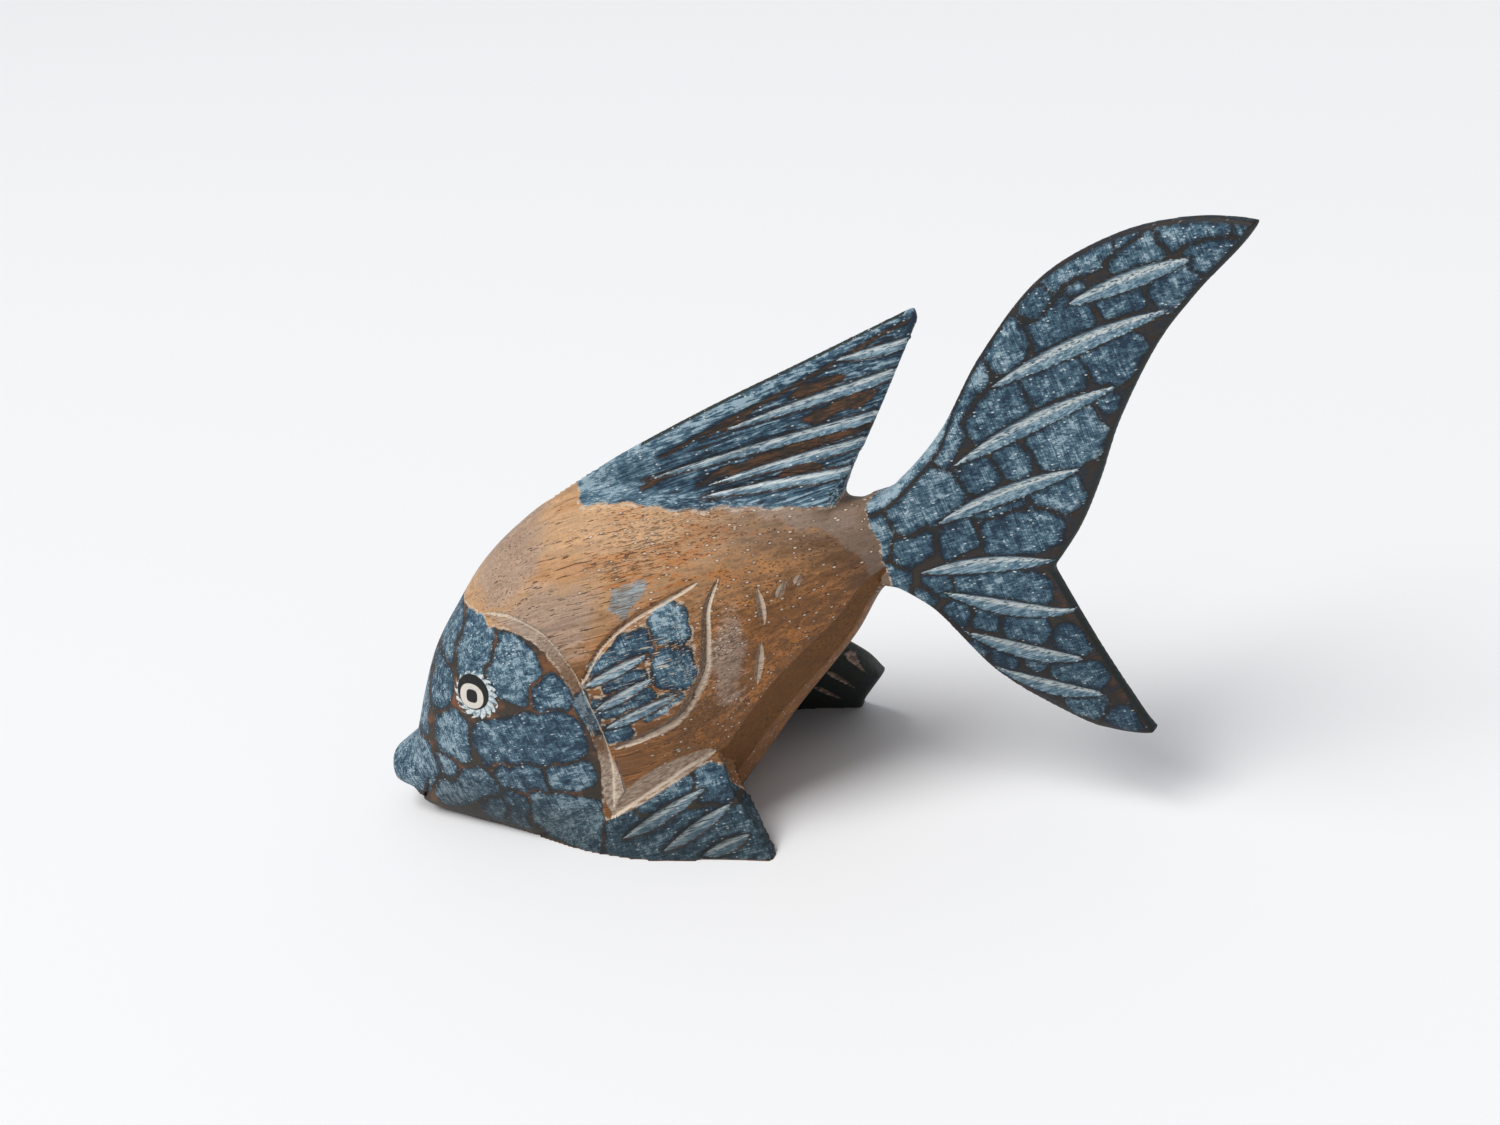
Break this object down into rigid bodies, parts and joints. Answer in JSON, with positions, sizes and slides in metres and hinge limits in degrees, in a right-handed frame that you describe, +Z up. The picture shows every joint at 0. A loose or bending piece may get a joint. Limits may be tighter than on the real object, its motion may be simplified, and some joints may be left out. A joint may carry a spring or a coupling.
{
  "type": "wooden koi sculpture",
  "caption": "Hand-carved wooden koi ornament with blue painted head, fins and forked tail, standing on the flat sole under its belly and its two belly fins.",
  "frame": {"origin": "middle of the flat sole under the belly, on the surface that the koi stands on", "axes": "+X along the fish towards its tail, +Z up, -Y towards the fish's left flank"},
  "size_m": [0.165, 0.0526, 0.1001],
  "materials": {
    "painted_wood": "waxed wood, blue dry-brushed paint on head, fins and tail"
  },
  "bodies": {
    "root": {"carved_koi": "painted_wood"}
  },
  "joints": []
}
